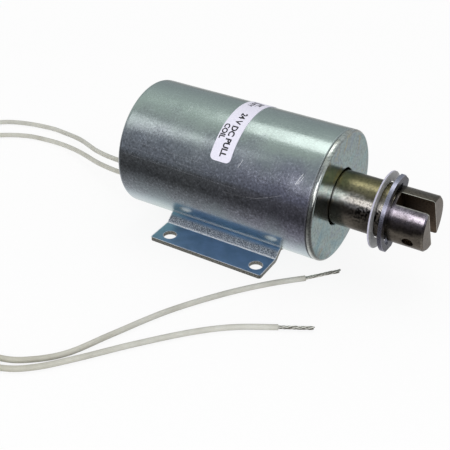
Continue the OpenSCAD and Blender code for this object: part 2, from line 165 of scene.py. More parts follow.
lead = {
    "white": "#cbcbc3",  # natural colour of the insulation
    "handled": "#b5b4ab",  # a little greyer where it has been handled
    "aged": "#a8a288", "agedAt": (-85, -75, 0), "agedReach": (90, 25),  # yellowed round this place, mm
    "mark": 6,  # length of a handling mark, mm
    "patch": 0.5,  # width of a dull patch on a strand, mm
    "wave": 1.2,  # length of the waves that the strands press through, mm
    "waveDepth": 0.03 * mm, "patchDepth": 0.01 * mm,
    "tin": "#fbf8ee",
    # the dark tone that the painted shade in the grooves between strands reaches
    "shadedTin": "#4b4434",
    "diameter": 1.6 * mm,
    "sides": 20,
    "strand": 0.34 * mm,
    "strandSides": 10,
    "strandRings": 60,
    "strands": 7,
    "packing": 0.92,  # strand spacing in strand diameters, as drawn in the solid
    "bareTurns": 1.2,
    "bareA": 9.6 * mm,
    "bareB": 11 * mm,
    "hidden": 1.0 * mm,  # length of the strands inside the insulation
    "cutShort": 0.07,  # most that a strand falls short, as a share of the bare end
    "opening": 0.32,  # most that the lay opens at the cut, as a share of its radius
    "strayRound": 0.25, "strayAside": 0.05 * mm,  # how far strands stray from the lay, in radians and metres
    "tones": (1, 0.65, 0.9),  # brightness of strands side by side
}


def insulation():
    # Extruded PVC insulation. It gives the eye a milky white with a soft gloss, waves where the strands
    # press through, rare grey handling marks and a yellowed stretch.
    finish, add = material("extrudedWhitePvc")
    place = partPlace(add)[0]
    marks = add("TexNoise", {"Vector": place, "Scale": 1 / lead["mark"], "Detail": 5, "Roughness": 0.6})
    tone = add("ValToRGB", {"Fac": marks}, [(0.35, lead["white"]), (0.75, lead["handled"])])
    away = add("VectorMath", {0: place, 1: lead["agedAt"]}, operation="DISTANCE")
    age = add("MapRange", {"Value": away, "From": lead["agedReach"]})
    tone = add("Mix", {"Factor": age, "A": tone, "B": linear(lead["aged"])}, **coloured)
    waves = add("TexNoise", {"Vector": place, "Scale": 1 / lead["wave"], "Detail": 3})
    bump = add("Bump", {"Height": waves, "Distance": lead["waveDepth"], "Strength": 0.5})
    gloss = add("ValToRGB", {"Fac": marks}, [(0.3, 0.32), (0.7, 0.46)])
    shader = add("BsdfPrincipled", {
        "Base Color": tone, "Roughness": gloss, "IOR": 1.53, "Normal": bump, "Subsurface Weight": 0.15,
        "Subsurface Radius": (1, 0.9, 0.75), "Subsurface Scale": 0.8 * mm})
    add("OutputMaterial", {"Surface": shader})
    return finish


def tinnedStrands():
    # Hot-dip tinned copper strand. It gives the eye bright grey wires with painted shade, dark brown, in the
    # grooves between them, duller on some strands and in patches.
    finish, add = material("tinnedCopperStrand")
    place = partPlace(add)[0]
    patch = add("TexNoise", {"Vector": place, "Scale": 1 / lead["patch"], "Detail": 4})
    # painted shade in the grooves between strands, read from the points' attribute
    lit = add("Attribute", attribute_name="lit").outputs["Fac"]
    lit = add("Math", {0: patch, 1: 0.4, 2: lit}, operation="MULTIPLY_ADD")
    tone = add("ValToRGB", {"Fac": lit}, [(0.62, lead["shadedTin"]), (0.98, lead["tin"])])
    gloss = add("ValToRGB", {"Fac": patch}, [(0.3, 0.22), (0.7, 0.42)])
    bump = add("Bump", {"Height": patch, "Distance": lead["patchDepth"], "Strength": 0.6})
    shader = add("BsdfPrincipled", {"Base Color": tone, "Metallic": 1, "Roughness": gloss, "Normal": bump})
    add("OutputMaterial", {"Surface": shader})
    return finish


# Routes of the two leads in millimetres, the same points that the solids follow.
leadHeight = 8.62
routeA = [
    (-24.45, 3, leadHeight), (-32.25, 3, leadHeight), (-41, 3.2, 7.6), (-51, 5, 6), (-62, 9, 4),
    (-73.5, 14.5, 2.4), (-83, 17.2, 1.3), (-91, 18, 0.9), (-101.5, 16, 0.9), (-109.5, 12, 0.9),
    (-118, 3, 0.9), (-124, -10, 0.9), (-125, -27, 0.9), (-118, -45, 0.9), (-105, -60, 0.9),
    (-86, -73, 0.9), (-65, -82, 0.9), (-44, -87.5, 0.9), (-30, -88.5, 0.9), (-18.5, -86, 0.9),
    (-11.5, -81.5, 0.9), (-4.5, -73.5, 0.9), (4.5, -62, 0.9), (14.5, -50.5, 0.9), (23, -43, 0.9),
    (33, -37, 0.9)]
routeB = [
    (-24.45, -3, leadHeight), (-32.25, -3, leadHeight), (-39.5, -2.5, 7.4), (-46.5, -1, 6), (-57, 3, 3.8),
    (-68, 7.5, 2.3), (-77, 10, 1.3), (-85, 10.5, 0.9), (-94, 9, 0.9), (-102.5, 4.5, 0.9),
    (-111, -3.5, 0.9), (-117, -15, 0.9), (-118, -29, 0.9), (-112, -43.5, 0.9), (-100, -57, 0.9),
    (-82, -69, 0.9), (-63, -77, 0.9), (-44, -82.5, 0.9), (-31, -84.5, 0.9), (-21.5, -83.5, 0.9),
    (-15, -80.5, 0.9), (-8, -73.5, 0.9), (-2.5, -61.5, 0.9), (4.5, -46.5, 0.9), (13.5, -32.5, 0.9),
    (22, -22, 0.9), (29.5, -14.5, 0.9)]
tipA = (8.4, 4.6, 0)
tipB = (7.1, 8.5, 0)


def smoothRoute(route, step=12):
    # A Catmull-Rom curve: between points p1 and p2,
    # P(t) = (2 p1 + (p2 - p0) t + (2 p0 - 5 p1 + 4 p2 - p3) t^2 + (3 p1 - p0 - 3 p2 + p3) t^3) / 2.
    p = np.array(route) * mm
    p = np.vstack([p[:1], p, p[-1:]])
    p0, p1, p2, p3 = (p[i:len(p) - 3 + i, None, :] for i in range(4))
    t = np.arange(step)[None, :, None] / step
    line = (2 * p1 + (p2 - p0) * t + (2 * p0 - 5 * p1 + 4 * p2 - p3) * t ** 2
            + (3 * p1 - p0 - 3 * p2 + p3) * t ** 3) / 2
    return np.vstack([line.reshape(-1, 3), p[-1:]])


def sweep(centres, radius, sides):
    # A round tube: P(s, a) = C(s) + r (cos a side(s) + sin a up(s)), where side lies level and up is square
    # to it and to the line.
    along = np.gradient(centres, axis=0)
    along /= np.linalg.norm(along, axis=1, keepdims=True)
    side = np.cross(along, (0, 0, 1))
    side /= np.linalg.norm(side, axis=1, keepdims=True)
    up = np.cross(side, along)
    a = np.linspace(0, 2 * np.pi, sides, endpoint=False)[None, :, None]
    ring = centres[:, None] + radius * (np.cos(a) * side[:, None] + np.sin(a) * up[:, None])
    return ring.reshape(-1, 3)


def bareEnd(name, route, direction, length, finish, seed):
    # Seven strands: one straight, six as helices that open a little towards the cut,
    # P(s) = tip + s d + h(s) (cos(w s + k) side + sin(w s + k) up), with h growing from the laid radius.
    rng = np.random.default_rng(seed)
    start = np.array(route[-1]) * mm
    d = np.array(direction) / np.linalg.norm(direction)
    side = np.cross(d, (0, 0, 1))
    up = np.cross(side, d)
    laid = lead["packing"] * lead["strand"]
    rings, sides, outer = lead["strandRings"], lead["strandSides"], lead["strands"] - 1
    points, faces, lit = [], [], []
    for k in range(lead["strands"]):
        run = length * (1 - lead["cutShort"] * rng.random())
        s = np.linspace(-lead["hidden"], run, rings)[:, None]
        t = np.clip(s / length, 0, 1)
        phase = 2 * np.pi * (lead["bareTurns"] * t + k / outer)
        phase = phase + lead["strayRound"] * rng.standard_normal() * t
        out = np.cos(phase) * side + np.sin(phase) * up
        h = 0 if k == outer else laid * (1 + lead["opening"] * rng.random() * t ** 2)
        drift = lead["strayAside"] * rng.standard_normal(2) * t ** 2
        line = start + s * d + h * out
        line = line + drift[:, :1] * side + drift[:, 1:] * up
        faces += tubeFaces(rings, sides, k * rings * sides)
        points.append(sweep(line, lead["strand"] / 2, sides))
        # Painted shade: how far each point faces away from the middle of the wire, 0 to 1, so the grooves
        # between strands are darker; some strands are duller.
        fromLine = points[-1].reshape(rings, sides, 3) - line[:, None]
        facing = np.sum(fromLine * out[:, None], axis=2) / lead["strand"]
        lit.append((0.5 + facing.ravel()) * lead["tones"][k % 3])
    piece = skin(name, np.vstack(points), faces, finish)
    piece.data.attributes.new("lit", "FLOAT", "POINT").data.foreach_set("value", np.hstack(lit))
    return piece


pvc = insulation()
tinned = tinnedStrands()
leads = [("leadA", routeA, tipA, lead["bareA"], "lead_wire_a", "lead_tip_a", 3 * mm, 11),
         ("leadB", routeB, tipB, lead["bareB"], "lead_wire_b", "lead_tip_b", -3 * mm, 12)]
for name, route, direction, bare, wire, tip, exitY, seed in leads:
    line = smoothRoute(route)
    tube = sweep(line, lead["diameter"] / 2, lead["sides"])
    piece = skin(name, tube, tubeFaces(len(line), lead["sides"]), pvc)
    strands = bareEnd(name + "Strands", route, direction, bare, tinned, seed)
    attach(piece, "body")
    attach(strands, "body")
    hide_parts(wire)
    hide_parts(tip)
    piece.visible_glossy = strands.visible_glossy = False  # keeps their smear out of the case

tubeZinc = {
    "radius": 19.05,  # outside of the tube, mm
    # Tone of the film by its place round the tube: partly the chromate's own tint, partly a painted
    # reflection tint that changes from side to side.
    "film": [(0, "#c6d6d0"), (0.25, "#c2cdd2"), (0.45, "#c8d4d1"), (0.58, "#cdd9d4"), (0.64, "#c4cbcd"),
             (0.7, "#c2c8ce"), (0.78, "#bfc6cf"), (0.84, "#c0ced4"), (0.92, "#c6dad4")],
    "violet": "#bdb9d6",  # painted reflection tint that the tube takes low on the front right
    "violetAlong": (-6, 26),  # where the violet starts and is full, mm along the axis
    "violetRound": [(0.58, 0), (0.68, 0.6), (0.76, 0.6), (0.84, 0)],  # its share round the tube
    "drift": 12,  # width of a blotch in the film, mm
    "wander": (-0.1, 0.1),  # how far a blotch moves the film round the tube, in turns
    "grain": 0.6,  # crystals of the plating, mm; coarser than life so that they show
    "grainDepth": 0.011 * mm,
    "drawn": 0.7, "drawnOut": 0.03,  # pitch of the drawing lines, mm, and how little they change along it
    "gloss": (0.17, 0.25),
    "scratchAndHighlightGloss": 0.3,  # a scratch, and the painted highlight on the front edge, is this much rougher
    "rag": 0.5,  # length of the breaks in a scratch, mm
    "handling": 5,  # size of a handling patch, mm
    "frontEdge": (30.2, 30.5), "frontHighlight": 0.35,  # the painted highlight along the front edge of the tube, mm along the axis, and how plain
    "scratchAndHighlight": "#f4f4f8",
    # Scratches, and long light lines along the axis: start and end as (along, round) in millimetres, half
    # width, and how plain.
    "scratches": [
        ((25.7, 19.1), (26.9, 15.9), 0.1, 1), ((26.5, 18.7), (27.3, 16.6), 0.08, 0.8),
        ((26.1, 18.9), (26.5, 17.9), 0.1, 0.6), ((8.2, 19.3), (9, 16.9), 0.09, 0.9),
        ((-13.4, 7.4), (-13.8, 4.2), 0.08, 0.4), ((-12.9, 7.3), (-13.2, 5), 0.06, 0.35),
        ((5, 27), (10.7, 26.8), 0.1, 0.35), ((10.7, 26.8), (15.3, 26), 0.1, 0.5),
        ((15.3, 26), (19.6, 24.4), 0.1, 0.6), ((19.6, 24.4), (22.6, 23), 0.09, 0.5),
        ((-29, 24.8), (9, 25.1), 0.1, 0.36), ((-28, 22.6), (4, 23.2), 0.1, 0.3),
        ((-26, 20.6), (-4, 21), 0.09, 0.24), ((3, -31), (9, -28.5), 0.1, 0.5),
        ((-18, -24), (-16.5, -20.5), 0.09, 0.6), ((17, -12), (19, -14.5), 0.08, 0.5)],
}


def scratchShare(add, along, angle):
    # How much of each scratch lies here: the distance to its line, on the tube laid flat.
    arc = add("Math", {0: angle, 1: tubeZinc["radius"]}, operation="MULTIPLY")
    spot = add("CombineXYZ", {"X": along, "Y": arc})
    rag = add("TexNoise", {"Vector": spot, "Scale": 1 / tubeZinc["rag"], "Detail": 1})
    total = 0
    for start, end, halfWidth, plain in tubeZinc["scratches"]:
        run = np.subtract(end, start)
        fromStart = add("VectorMath", {0: spot, 1: (*start, 0)}, operation="SUBTRACT")
        share = add("VectorMath", {0: fromStart, 1: (*(run / (run @ run)), 0)}, operation="DOT_PRODUCT")
        share = add("Math", {0: share, 1: 1}, operation="MULTIPLY", use_clamp=True)
        nearest = add("VectorMath", {0: (*run, 0), "Scale": share}, operation="SCALE")
        gap = add("VectorMath", {0: fromStart, 1: nearest}, operation="DISTANCE")
        depth = add("MapRange", {
            "Value": gap, "From": (0.5 * halfWidth, 1.5 * halfWidth), "To": (plain, 0)})
        total = add("Math", {0: depth, 1: total}, operation="MAXIMUM")
    ragged = add("MapRange", {"Value": rag, "From": (0.3, 0.5)})
    return add("Math", {0: total, 1: ragged}, operation="MULTIPLY")


def zincPlatedTube():
    # Drawn steel tube, zinc plated with a clear chromate. It gives the eye a satin grey mirror with a fine
    # crystal sparkle, faint lines along the drawing, a film from green to violet that is partly a painted
    # reflection tint by side, white scratches, and a painted highlight along its front edge.
    finish, add = material("zincPlatedTube")
    place, along, _, angle = partPlace(add)
    blotch = add("TexNoise", {
        "Vector": place, "Scale": 1 / tubeZinc["drift"], "Detail": 4, "Roughness": 0.55})
    where = roundPlace(add, angle, blotch, tubeZinc["wander"])
    # partly the chromate's tint, partly a painted reflection tint by side; the violet low on the front right
    # is painted reflection tint
    film = add("ValToRGB", {"Fac": where}, tubeZinc["film"])
    low = add("ValToRGB", {"Fac": where}, tubeZinc["violetRound"])
    right = add("MapRange", {"Value": along, "From": tubeZinc["violetAlong"]})
    share = add("Math", {0: low, 1: right}, operation="MULTIPLY")
    film = add("Mix", {"Factor": share, "A": film, "B": linear(tubeZinc["violet"])}, **coloured)
    grain = add("TexNoise", {"Vector": place, "Scale": 1 / tubeZinc["grain"], "Detail": 1.5})
    sparkle = add("ValToRGB", {"Fac": grain}, [(0.3, 0.5), (0.5, 0.92), (0.6, 1), (0.7, 1.5)])
    plain = add("Math", {0: low, 1: 1.15, 2: 0.15}, operation="MULTIPLY_ADD", use_clamp=True)
    tone = add("Mix", {"Factor": plain, "A": film, "B": sparkle}, **multiplied)
    scratched = scratchShare(add, along, angle)
    # painted highlight along the tube's front edge, lightened like the scratches
    edge = add("MapRange", {"Value": along, "From": tubeZinc["frontEdge"], "To Max": tubeZinc["frontHighlight"]})
    wearAndPaintedHighlight = add("Math", {0: scratched, 1: edge}, operation="MAXIMUM")
    tone = add("Mix", {"Factor": wearAndPaintedHighlight, "A": tone, "B": linear(tubeZinc["scratchAndHighlight"])}, **coloured)
    patch = add("TexNoise", {"Vector": place, "Scale": 1 / tubeZinc["handling"], "Detail": 3})
    gloss = add("MapRange", {"Value": patch, "From": (0.35, 0.65), "To": tubeZinc["gloss"]})
    gloss = add("Math", {0: wearAndPaintedHighlight, 1: tubeZinc["scratchAndHighlightGloss"], 2: gloss}, operation="MULTIPLY_ADD")
    stretched = add("Mapping", {"Vector": place, "Scale": (tubeZinc["drawnOut"], 1, 1)})
    lines = add("TexNoise", {"Vector": stretched, "Scale": 1 / tubeZinc["drawn"]})
    height = add("Math", {0: lines, 1: 0.5, 2: grain}, operation="MULTIPLY_ADD")
    height = add("Math", {0: wearAndPaintedHighlight, 1: -0.6, 2: height}, operation="MULTIPLY_ADD")
    bump = add("Bump", {"Height": height, "Distance": tubeZinc["grainDepth"]})
    shader = add("BsdfPrincipled", {"Base Color": tone, "Metallic": 1, "Roughness": gloss, "Normal": bump})
    add("OutputMaterial", {"Surface": shader})
    return finish


faceZinc = {
    "film": [(0.3, "#a3c3cb"), (0.42, "#b8d1d2"), (0.5, "#c0d1cd"), (0.57, "#b5c7d0"), (0.66, "#cbcdb6")],
    "drift": 5.5,  # width of a blotch in the film, mm
    "grain": 0.6, "grainShare": 0.6,  # size of a speck in the plating, mm, and how plain it is
    "turned": 0.3,  # pitch of the lathe marks, mm; coarser than life so that they show
    "turnedDepth": 0.0008 * mm,
    "rim": (18.25, 18.65),  # the rim starts between these, mm out from the axis
    # painted highlight on the rim: its tone, and its share
    "rimHighlightTone": "#f0eee8", "rimShare": 0.7,
    "joint": 30.8, "jointHalf": 0.14,  # dark line where the cap meets the tube, mm along the axis
    "jointDark": 0.12,
    "stroke": 0.7, "strokeLean": 0.5,  # width and slant of the tool strokes on the rim, mm and mm per mm
    "gloss": (0.14, 0.22),
}


def zincPlatedFace():
    # Turned steel disc, zinc plated with a clear chromate. It gives the eye a smooth grey mirror with faint
    # lathe marks round the axis, soft blue, grey and straw blotches, and a painted highlight on its rim.
    finish, add = material("zincPlatedFace")
    place, along, out, angle = partPlace(add)
    blotch = add("TexNoise", {
        "Vector": place, "Scale": 1 / faceZinc["drift"], "Detail": 3, "Distortion": 0.6})
    film = add("ValToRGB", {"Fac": blotch}, faceZinc["film"])
    # painted highlight: the rim is lightened towards a warm white
    rim = add("MapRange", {"Value": out, "From": faceZinc["rim"]})
    rimHighlight = add("Math", {0: rim, 1: faceZinc["rimShare"]}, operation="MULTIPLY")
    tone = add("Mix", {"Factor": rimHighlight, "A": film, "B": linear(faceZinc["rimHighlightTone"])}, **coloured)
    grain = add("TexNoise", {"Vector": place, "Scale": 1 / faceZinc["grain"]})
    speck = add("ValToRGB", {"Fac": grain}, [(0.3, 0.5), (0.5, 1), (0.7, 1.25)])
    tone = add("Mix", {"Factor": faceZinc["grainShare"], "A": tone, "B": speck}, **multiplied)
    arc = add("Math", {0: angle, 1: faceZinc["rim"][0]}, operation="MULTIPLY")
    lean = add("Math", {0: along, 1: faceZinc["strokeLean"], 2: arc}, operation="MULTIPLY_ADD")
    strokes = add("TexNoise", {
        "W": lean, "Scale": 1 / faceZinc["stroke"], "Detail": 1}, noise_dimensions="1D")
    stroked = add("ValToRGB", {"Fac": strokes}, [(0.35, 0.8), (0.6, 1.04)])
    tone = add("Mix", {"Factor": rimHighlight, "A": tone, "B": stroked}, **multiplied)
    gap = add("Math", {0: along, 1: faceZinc["joint"], 2: faceZinc["jointHalf"]}, operation="COMPARE")
    dark = [faceZinc["jointDark"]] * 3 + [1]
    tone = add("Mix", {"Factor": gap, "A": tone, "B": dark}, **multiplied)
    gloss = add("MapRange", {"Value": blotch, "From": (0.35, 0.65), "To": faceZinc["gloss"]})
    marks = latheMarks(add, along, out, angle, faceZinc["turned"])
    height = add("Math", {0: grain, 1: 2.5, 2: marks}, operation="MULTIPLY_ADD")
    bump = add("Bump", {"Height": height, "Distance": faceZinc["turnedDepth"]})
    shader = add("BsdfPrincipled", {"Base Color": tone, "Metallic": 1, "Roughness": gloss, "Normal": bump})
    add("OutputMaterial", {"Surface": shader})
    return finish


blueZinc = {
    "blue": "#89abd3", "green": "#93bfc8",
    "greenAlong": (-12.5, -23),  # where the film starts to turn and is all green, mm along the axis
    # the last tone here is that of the painted highlight lines
    "edge": "#55534d", "edgeLight": "#9b9a94", "wearAndPaintedHighlight": "#eef0f4",
    "web": (9, 11.15), "webFade": (0.75, 0.2),  # the sloped web, mm from the middle, and its soft borders
    # the web's tones: a scuffed grain, and a light grey that is partly a painted sheen
    "webSheen": "#f2f5fd", "webDark": "#7a8294",
    "middle": -0.5, "halfWidth": 20.5,  # middle of the sheet along the axis, and half its width, mm
    "hole": (14.8, 16.7, 0),
    # Painted highlight lines along the ends, edges and lower folds and round the holes, where the sheet's
    # edges
    # and bends catch the light: distance from the middle of the sheet or hole and half width, mm.
    "highlightEnd": (18.8, 0.28), "highlightEdge": (20.5, 0.28), "highlightFold": (11.3, 0.3), "highlightHole": (2, 0.14),
    "cloud": 4,  # width of a cloud in the film, mm
    "grain": 0.32,  # size of a speck, mm
    "grainDepth": 0.004 * mm,
    "metal": (0.7, 1),  # of the dyed film, which is only partly metal to the eye, and of the web
}


def blueChromatedSheet():
    # Pressed sheet steel with a blue zinc chromate. It gives the eye a deep blue film that turns green at
    # the rear, a speckled grey web that the press tool has scuffed, its light grey partly a painted sheen
    # where the slope catches the light, dull sheared edges, and painted highlight lines along the lower
    # folds, ends, edges and hole rims.
    finish, add = material("blueChromatedSheet")
    place, along = partPlace(add)[:2]
    middled = add("VectorMath", {0: place, 1: (-blueZinc["middle"], 0, 0)}, operation="ADD")
    folded = add("VectorMath", {0: middled}, operation="ABSOLUTE")
    split = add("SeparateXYZ", {"Vector": folded})
    alongSheet, acrossSheet = split.outputs["X"], split.outputs["Y"]
    drift = add("TexNoise", {"Vector": place, "Scale": 1 / blueZinc["cloud"], "Detail": 4})
    grain = add("TexNoise", {"Vector": place, "Scale": 1 / blueZinc["grain"], "Roughness": 0.6})
    green = add("MapRange", {"Value": along, "From": blueZinc["greenAlong"]})
    tone = add("Mix", {
        "Factor": green, "A": linear(blueZinc["blue"]), "B": linear(blueZinc["green"])}, **coloured)
    clouds = add("ValToRGB", {"Fac": drift}, [(0.3, 0.82), (0.7, 1.12)])
    tone = add("Mix", {"Factor": 1, "A": tone, "B": clouds}, **multiplied)
    near, far = np.array(blueZinc["web"]) / blueZinc["halfWidth"]
    nearFade, farFade = np.array(blueZinc["webFade"]) / blueZinc["halfWidth"]
    fromMiddle = add("Math", {0: acrossSheet, 1: blueZinc["halfWidth"]}, operation="DIVIDE")
    web = add("ValToRGB", {"Fac": fromMiddle}, [
        (near, 0), (near + nearFade, 1), (far, 1), (far + farFade, 0)])
    # partly a real scuffed grain, partly a painted sheen: the web is lighter where its slope catches the
    # overhead light
    scuffAndSheen = add("ValToRGB", {"Fac": grain}, [(0.38, blueZinc["webDark"]), (0.62, blueZinc["webSheen"])])
    tone = add("Mix", {"Factor": web, "A": tone, "B": scuffAndSheen}, **coloured)
    upward = squareTo(add, "Z")
    upright = add("MapRange", {"Value": upward, "From": (0.2, 0.4), "To": (1, 0)})
    sheared = add("ValToRGB", {"Fac": grain}, [(0.4, blueZinc["edge"]), (0.6, blueZinc["edgeLight"])])
    tone = add("Mix", {"Factor": upright, "A": tone, "B": sheared}, **coloured)
    quarter = add("VectorMath", {0: place}, operation="ABSOLUTE")
    toHole = add("VectorMath", {0: quarter, 1: blueZinc["hole"]}, operation="SUBTRACT")
    level = add("VectorMath", {0: toHole, 1: (1, 1, 0)}, operation="MULTIPLY")
    toHole = add("VectorMath", {0: level}, operation="LENGTH")
    # painted highlight lines along the ends, edges, lower folds and hole rims
    highlightLines = 0
    for value, (edge, width) in [
            (alongSheet, blueZinc["highlightEnd"]), (acrossSheet, blueZinc["highlightEdge"]),
            (toHole, blueZinc["highlightHole"]), (acrossSheet, blueZinc["highlightFold"])]:
        gap = add("Math", {0: value, 1: edge}, operation="SUBTRACT")
        gap = add("Math", {0: gap}, operation="ABSOLUTE")
        line = add("MapRange", {"Value": gap, "From": (0.4 * width, width), "To": (1, 0)})
        highlightLines = add("Math", {0: line, 1: highlightLines}, operation="MAXIMUM")
    ragged = add("MapRange", {"Value": grain, "From": (0.25, 0.45)})
    highlightLines = add("Math", {0: highlightLines, 1: ragged}, operation="MULTIPLY")
    topOnly = add("Math", {0: highlightLines, 1: upward}, operation="MULTIPLY")
    tone = add("Mix", {"Factor": topOnly, "A": tone, "B": linear(blueZinc["wearAndPaintedHighlight"])}, **coloured)
    gloss = add("MapRange", {"Value": grain, "From": (0.3, 0.7), "To": (0.36, 0.48)})
    metal = add("MapRange", {"Value": web, "To": blueZinc["metal"]})
    metal = add("Math", {0: topOnly, 1: -0.75, 2: metal}, operation="MULTIPLY_ADD", use_clamp=True)
    bump = add("Bump", {"Height": grain, "Distance": blueZinc["grainDepth"]})
    shader = add("BsdfPrincipled", {
        "Base Color": tone, "Metallic": metal, "Roughness": gloss, "Normal": bump})
    add("OutputMaterial", {"Surface": shader})
    return finish


nickel = {
    # Tone behind the ring and ahead of it, by the place round the plunger: painted reflections and
    # highlights, light and dark bands that stand for the room and lamps mirrored in the metal.
    "paintedLightBehindRing": [(0, "#857c6d"), (0.3, "#8c8462"), (0.44, "#4f4a36"), (0.5, "#857d5c"), (0.57, "#968e6c"),
              (0.61, "#8f8770"), (0.645, "#d8d2c8"), (0.675, "#cdc7c2"), (0.7, "#7d756f"), (0.75, "#8f877d"),
              (0.85, "#6f675b")],
    "bare": [(0, "#857b70"), (0.44, "#6b6257"), (0.53, "#7f756b"), (0.6, "#9b9092"), (0.65, "#cfc5d1"),
             (0.69, "#8d848a"), (0.73, "#7a716b"), (0.77, "#dccfbf"), (0.85, "#8b8075")],
    "wander": (-0.06, 0.06),  # how far a patch moves the tone round the plunger, in turns
    "drift": 4,  # width of a patch, mm
    "behindRingEnd": (47, 49),  # the painted bands behind the ring give way to those ahead between these, mm along the axis
    "slotSide": (0, 0.906308, 0.422618),  # direction square to the slot, which is turned 25 degrees
    "slotWall": (2, 2.06), "corner": 2.16,  # distance of the slot's walls and corners from its middle, mm
    "slotFloor": (49.75, 49.85), "slotLength": (49.85, 59.05), "endFace": (58.95, 59),  # mm along the axis
    # tones of the painted shade in the slot, deep and near the tip, of the end face, and of the painted
    # highlight on the corners
    "slotShade": "#463729", "slotShadeAtTip": "#84725f", "endTone": "#786a5c", "wearAndPaintedHighlight": "#f2ece0",
    # Share of dark specks by the place round the plunger, and where they fade in, mm along the axis.
    "specks": [(0.655, 0), (0.685, 1), (0.74, 0.9), (0.78, 0)], "specksAlong": (37, 41),
    "cornerFade": (0.06, 0.15), "cornerHighlight": (0.9, 0),  # width of the painted highlight line, mm, and how plain it is
    "turned": 0.22,  # pitch of the lathe marks, mm; coarser than life so that they show
    "pits": 0.6, "pitShare": 0.45,  # size of the pits in the plating, mm, and how plain they are
    "depth": 0.003 * mm,
    "gloss": (0.19, 0.28),
}


def nickelPlatedPlunger():
    # Turned steel with a satin nickel plate. It gives the eye a dark mirror with fine lathe marks and small
    # pits, painted reflections and highlights in bands round it (olive on top behind the ring, a mauve cast
    # at the tip), painted highlights along the corners beside the slot, and painted shade in the slot.
    finish, add = material("nickelPlatedPlunger")
    place, along, out, angle = partPlace(add)
    drift = add("TexNoise", {"Vector": place, "Scale": 1 / nickel["drift"], "Detail": 3})
    where = roundPlace(add, angle, drift, nickel["wander"])
    # painted reflections and highlights in bands round the plunger, behind the ring and ahead of it
    paintedLightBehindRing = add("ValToRGB", {"Fac": where}, nickel["paintedLightBehindRing"])
    bare = add("ValToRGB", {"Fac": where}, nickel["bare"])
    ahead = add("MapRange", {"Value": along, "From": nickel["behindRingEnd"]})
    specks = add("TexNoise", {"Vector": place, "Scale": 1 / nickel["pits"], "Detail": 0})
    specks = add("ValToRGB", {"Fac": specks}, [(0.44, 0.07), (0.54, 1.3)])
    share = add("ValToRGB", {"Fac": where}, nickel["specks"])
    fade = add("MapRange", {"Value": along, "From": nickel["specksAlong"]})
    share = add("Math", {0: share, 1: fade}, operation="MULTIPLY")
    paintedLightBehindRing = add("Mix", {"Factor": share, "A": paintedLightBehindRing, "B": specks}, **multiplied)
    tone = add("Mix", {"Factor": ahead, "A": paintedLightBehindRing, "B": bare}, **coloured)
    # Inside the slot painted shade darkens the metal, most of all at its floor; the end face is plain; the
    # corners beside the slot carry a painted highlight.
    centred = add("VectorMath", {0: place, 1: (0, 0, axisHeight)}, operation="SUBTRACT")
    side = add("VectorMath", {0: centred, 1: nickel["slotSide"]}, operation="DOT_PRODUCT")
    side = add("Math", {0: side}, operation="ABSOLUTE")
    within = add("MapRange", {"Value": side, "From": nickel["slotWall"], "To": (1, 0)})
    past = add("MapRange", {"Value": along, "From": nickel["slotFloor"]})
    slot = add("Math", {0: within, 1: past}, operation="MULTIPLY")
    endShare = add("MapRange", {"Value": along, "From": nickel["endFace"]})
    tone = add("Mix", {"Factor": endShare, "A": tone, "B": linear(nickel["endTone"])}, **coloured)
    deep = add("MapRange", {"Value": along, "From": nickel["slotLength"]})
    # painted shade in the slot, darkest at its floor and lighter towards the tip
    paintedSlotShade = add("Mix", {
        "Factor": deep, "A": linear(nickel["slotShade"]), "B": linear(nickel["slotShadeAtTip"])}, **coloured)
    tone = add("Mix", {"Factor": slot, "A": tone, "B": paintedSlotShade}, **coloured)
    gap = add("Math", {0: side, 1: nickel["corner"]}, operation="SUBTRACT")
    gap = add("Math", {0: gap}, operation="ABSOLUTE")
    # painted highlight along the corners beside the slot
    corner = add("MapRange", {"Value": gap, "From": nickel["cornerFade"], "To": nickel["cornerHighlight"]})
    corner = add("Math", {0: corner, 1: past}, operation="MULTIPLY")
    tone = add("Mix", {"Factor": corner, "A": tone, "B": linear(nickel["wearAndPaintedHighlight"])}, **coloured)
    marks = latheMarks(add, along, out, angle, nickel["turned"])
    pits = add("TexNoise", {"Vector": place, "Scale": 1 / nickel["pits"], "Detail": 1})
    dark = add("ValToRGB", {"Fac": pits}, [(0.32, 0.25), (0.5, 1), (0.7, 1.2)])
    tone = add("Mix", {"Factor": nickel["pitShare"], "A": tone, "B": dark}, **multiplied)
    height = add("Math", {0: pits, 1: 1.6, 2: marks}, operation="MULTIPLY_ADD")
    gloss = add("MapRange", {"Value": drift, "From": (0.35, 0.65), "To": nickel["gloss"]})
    gloss = add("Math", {0: slot, 1: 0.3, 2: gloss}, operation="MULTIPLY_ADD")
    bump = add("Bump", {"Height": height, "Distance": nickel["depth"]})
    shader = add("BsdfPrincipled", {"Base Color": tone, "Metallic": 1, "Roughness": gloss, "Normal": bump})
    add("OutputMaterial", {"Surface": shader})
    return finish


springSteel = {
    "face": "#74757f", "patch": "#5d5e67", "edge": "#b4b3c6",
    "edgeOut": (10.6, 10.9),  # the bared edge starts between these, mm out from the axis
    "grain": 0.35, "grainDepth": 0.003 * mm,  # size of the stamped grain, mm
    "gloss": (0.23, 0.36),
}


